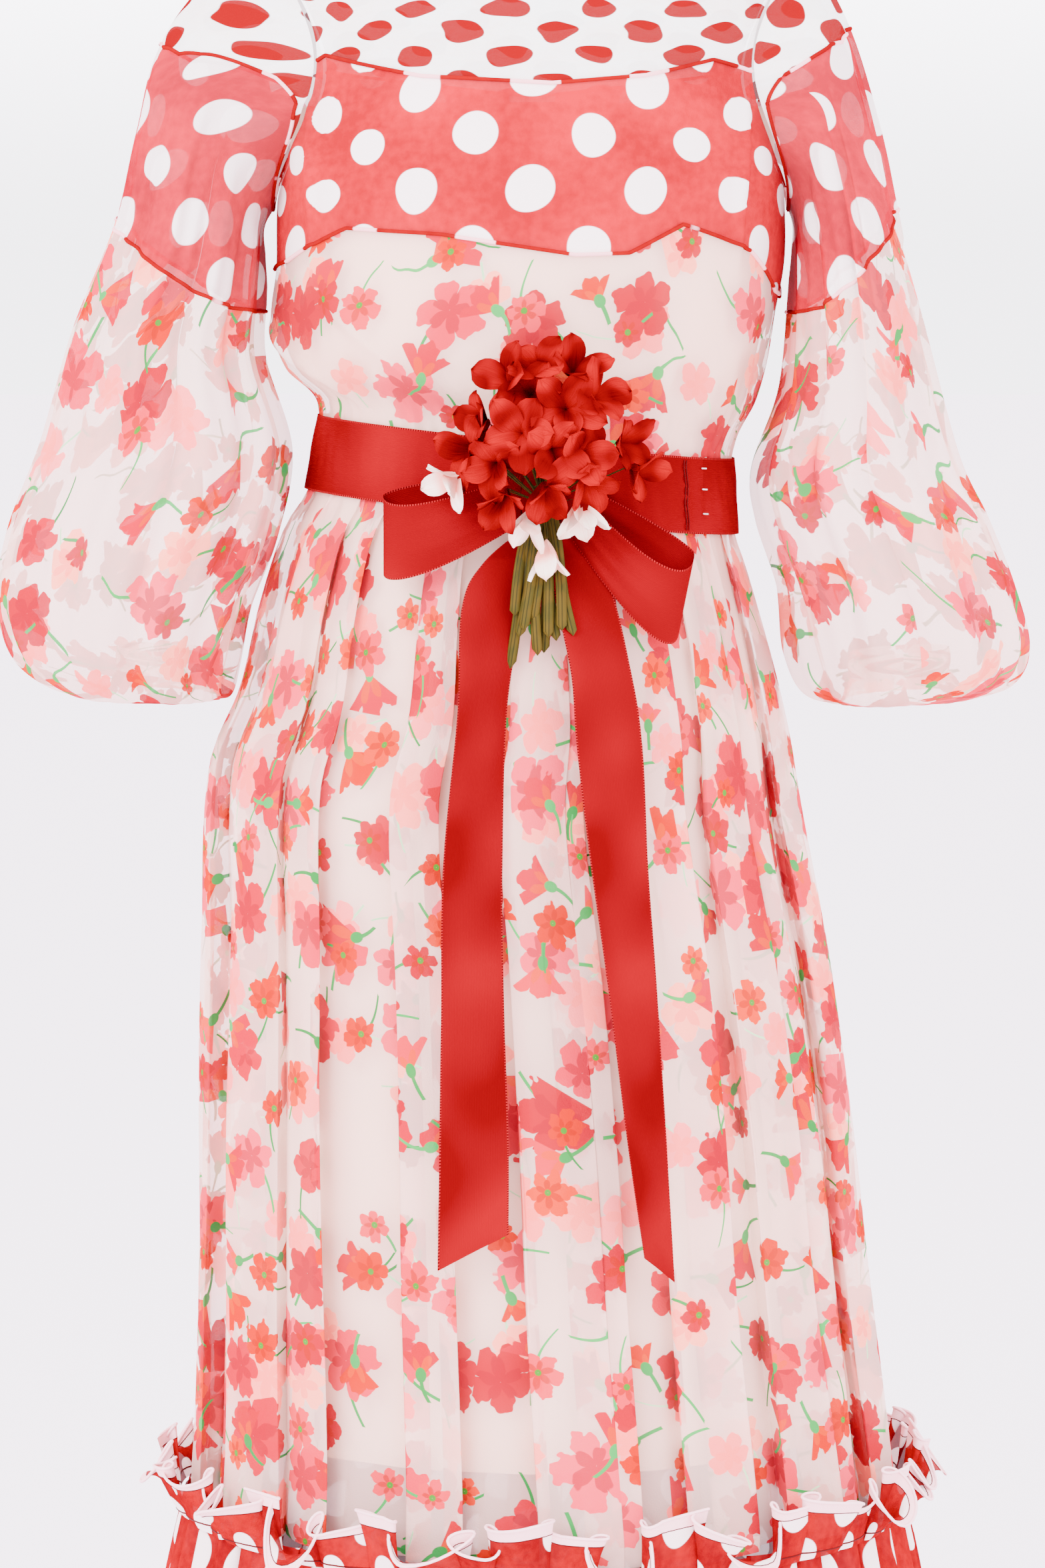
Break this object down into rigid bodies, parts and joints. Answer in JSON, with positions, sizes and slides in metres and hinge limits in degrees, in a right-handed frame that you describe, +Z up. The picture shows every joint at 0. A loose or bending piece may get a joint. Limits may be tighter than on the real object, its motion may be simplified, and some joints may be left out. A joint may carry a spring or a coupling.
{
  "type": "maxi dress",
  "caption": "Chiffon maxi dress in its worn shape: spotted yoke and band, floral bodice, balloon sleeves and skirt, frilled flounce, ribbon belt with bow and blossoms.",
  "frame": {"origin": "middle of the neck opening at shoulder height, where the wearer's shoulders hold the dress", "axes": "+Z up along the body, -Y out of the front, +X to the right as seen from the front"},
  "size_m": [0.6076, 0.4942, 1.3967],
  "materials": {
    "white_dotted_chiffon": "sheer white chiffon with red spots, about 30 mm",
    "red_dotted_chiffon": "sheer red chiffon with white spots, about 30 mm",
    "floral_chiffon": "sheer ivory chiffon with pink and coral blossoms",
    "lining_satin": "plain ivory lining, soft sheen",
    "red_satin_ribbon": "red satin, glossy",
    "red_petal_cloth": "red starched petal cloth, matt",
    "pale_petal_cloth": "pale pink starched petal cloth, matt",
    "green_stem_paper": "green crepe paper wound on wire"
  },
  "bodies": {
    "root": {"yoke_front": "white_dotted_chiffon", "yoke_back": "white_dotted_chiffon", "neck_band": "white_dotted_chiffon", "sleeve_top_left": "white_dotted_chiffon", "sleeve_top_right": "white_dotted_chiffon", "chest_band_front": "red_dotted_chiffon", "chest_band_back": "red_dotted_chiffon", "sleeve_band_left": "red_dotted_chiffon", "sleeve_band_right": "red_dotted_chiffon", "flounce_front": "red_dotted_chiffon", "flounce_back": "red_dotted_chiffon", "header_ruffle_front": "red_dotted_chiffon", "header_ruffle_back": "red_dotted_chiffon", "bodice_front": "floral_chiffon", "bodice_back": "floral_chiffon", "skirt_front": "floral_chiffon", "skirt_back": "floral_chiffon", "sleeve_balloon_left": "floral_chiffon", "sleeve_balloon_right": "floral_chiffon", "sleeve_cuff_left": "floral_chiffon", "sleeve_cuff_right": "floral_chiffon", "bodice_lining_front": "lining_satin", "bodice_lining_back": "lining_satin", "skirt_lining_upper_front": "lining_satin", "skirt_lining_upper_back": "lining_satin", "skirt_lining_middle_front": "lining_satin", "skirt_lining_middle_back": "lining_satin", "skirt_lining_lower_front": "lining_satin", "skirt_lining_lower_back": "lining_satin", "belt": "red_satin_ribbon", "belt_end": "red_satin_ribbon", "bow_knot": "red_satin_ribbon", "bow_loop_left": "red_satin_ribbon", "bow_loop_right": "red_satin_ribbon", "bow_tail_left": "red_satin_ribbon", "bow_tail_right": "red_satin_ribbon", "blossom_red_1": "red_petal_cloth", "blossom_red_2": "red_petal_cloth", "blossom_red_3": "red_petal_cloth", "blossom_red_4": "red_petal_cloth", "blossom_red_5": "red_petal_cloth", "blossom_red_6": "red_petal_cloth", "blossom_red_7": "red_petal_cloth", "blossom_red_8": "red_petal_cloth", "blossom_pale_1": "pale_petal_cloth", "blossom_pale_2": "pale_petal_cloth", "blossom_pale_3": "pale_petal_cloth", "blossom_pale_4": "pale_petal_cloth", "stem_bundle": "green_stem_paper"}
  },
  "joints": []
}
